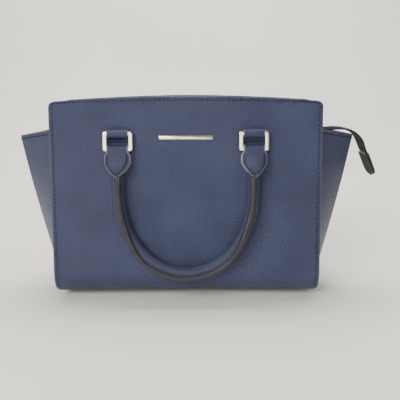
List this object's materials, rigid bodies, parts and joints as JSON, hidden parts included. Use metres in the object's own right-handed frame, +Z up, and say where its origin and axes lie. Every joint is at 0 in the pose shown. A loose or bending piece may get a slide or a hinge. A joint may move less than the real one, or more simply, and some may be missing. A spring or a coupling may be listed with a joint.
{
  "type": "winged satchel handbag",
  "caption": "Winged trapeze satchel handbag in crosshatch leather, with rolled handles on rectangular rings, a recessed top zip with a hanging tail, and metal feet.",
  "frame": {"origin": "on the surface the feet stand on, under the middle of the whole box, zip tail included", "axes": "+X right seen from the front, +Y towards the back, +Z up"},
  "size_m": [0.388, 0.1506, 0.209],
  "materials": {
    "saffiano_leather": "navy crosshatch-embossed leather with a low sheen",
    "edge_leather": "darker navy leather with painted edges",
    "lining_cloth": "plain beige woven lining",
    "zip_cloth": "dark navy woven zip tape",
    "stiffener_board": "stiff dark board",
    "pale_gold": "polished pale gold plating"
  },
  "bodies": {
    "bag": {"front_panel": "saffiano_leather", "front_facing": "edge_leather", "front_lining": "lining_cloth", "back_panel": "saffiano_leather", "back_facing": "edge_leather", "back_lining": "lining_cloth", "base_panel": "saffiano_leather", "base_board": "stiffener_board", "base_lining": "lining_cloth", "foot_front_left": "pale_gold", "foot_front_right": "pale_gold", "foot_back_left": "pale_gold", "foot_back_right": "pale_gold", "wing_right": "saffiano_leather", "wing_left": "saffiano_leather", "slip_pocket": "lining_cloth", "zip_pocket": "lining_cloth", "zip_pocket_zip": "zip_cloth", "zip_end_left": "edge_leather", "zip_end_right": "edge_leather", "front_chape_left": "saffiano_leather", "front_chape_right": "saffiano_leather", "back_chape_left": "saffiano_leather", "back_chape_right": "saffiano_leather", "name_bar": "pale_gold"},
    "front_ring_left": {"front_ring_left": "pale_gold"},
    "front_ring_right": {"front_ring_right": "pale_gold"},
    "front_handle": {"front_handle": "edge_leather", "front_tab_left": "saffiano_leather", "front_tab_right": "saffiano_leather"},
    "front_zip_flap": {"front_zip_strip": "edge_leather", "front_zip_tape": "zip_cloth", "front_zip_teeth": "pale_gold"},
    "back_ring_left": {"back_ring_left": "pale_gold"},
    "back_ring_right": {"back_ring_right": "pale_gold"},
    "back_handle": {"back_handle": "edge_leather", "back_tab_left": "saffiano_leather", "back_tab_right": "saffiano_leather"},
    "back_zip_flap": {"back_zip_strip": "edge_leather", "back_zip_tape": "zip_cloth", "back_zip_teeth": "pale_gold"},
    "zip_slider": {"zip_slider": "pale_gold"},
    "zip_pull": {"zip_pull": "pale_gold"},
    "zip_tail": {"zip_tail": "zip_cloth", "zip_end_tab": "saffiano_leather"}
  },
  "joints": [
    {"name": "front_ring_left_swing", "type": "hinge", "parent": "bag", "child": "front_ring_left", "pos_m": [-0.08301, -0.0397, 0.17259], "axis": [-1, 0, 0], "range_deg": [0, 150]},
    {"name": "front_ring_right_swing", "type": "hinge", "parent": "bag", "child": "front_ring_right", "pos_m": [0.05559, -0.0397, 0.17259], "axis": [-1, 0, 0], "range_deg": [0, 150]},
    {"name": "front_handle_swing", "type": "hinge", "parent": "front_ring_left", "child": "front_handle", "pos_m": [-0.08301, -0.0422, 0.1572], "axis": [-1, 0, 0], "range_deg": [0, 25]},
    {"name": "back_ring_left_swing", "type": "hinge", "parent": "bag", "child": "back_ring_left", "pos_m": [-0.08301, 0.0397, 0.17259], "axis": [1, 0, 0], "range_deg": [0, 150]},
    {"name": "back_ring_right_swing", "type": "hinge", "parent": "bag", "child": "back_ring_right", "pos_m": [0.05559, 0.0397, 0.17259], "axis": [1, 0, 0], "range_deg": [0, 150]},
    {"name": "back_handle_swing", "type": "hinge", "parent": "back_ring_left", "child": "back_handle", "pos_m": [-0.08301, 0.0422, 0.1572], "axis": [1, 0, 0], "range_deg": [0, 25]},
    {"name": "zip_slide", "type": "slide", "parent": "bag", "child": "zip_slider", "axis": [1, 0, 0], "range_m": [0, 0.228]},
    {"name": "zip_pull_flip", "type": "hinge", "parent": "zip_slider", "child": "zip_pull", "pos_m": [-0.12771, 0, 0.1762], "axis": [0, 1, 0], "range_deg": [0, 150]},
    {"name": "front_zip_flap_lift", "type": "hinge", "parent": "bag", "child": "front_zip_flap", "pos_m": [-0.01371, -0.0295, 0.172], "axis": [1, 0, 0], "range_deg": [0, 75]},
    {"name": "back_zip_flap_lift", "type": "hinge", "parent": "bag", "child": "back_zip_flap", "pos_m": [-0.01371, 0.0295, 0.172], "axis": [-1, 0, 0], "range_deg": [0, 75]},
    {"name": "zip_tail_lift", "type": "hinge", "parent": "bag", "child": "zip_tail", "pos_m": [0.12079, 0, 0.1715], "axis": [0, -1, 0], "range_deg": [0, 60]}
  ],
  "couplings": [
    {"joint": "front_ring_right_swing", "follows": "front_ring_left_swing", "ratio": 1},
    {"joint": "back_ring_right_swing", "follows": "back_ring_left_swing", "ratio": 1},
    {"joint": "back_zip_flap_lift", "follows": "front_zip_flap_lift", "ratio": 1}
  ]
}
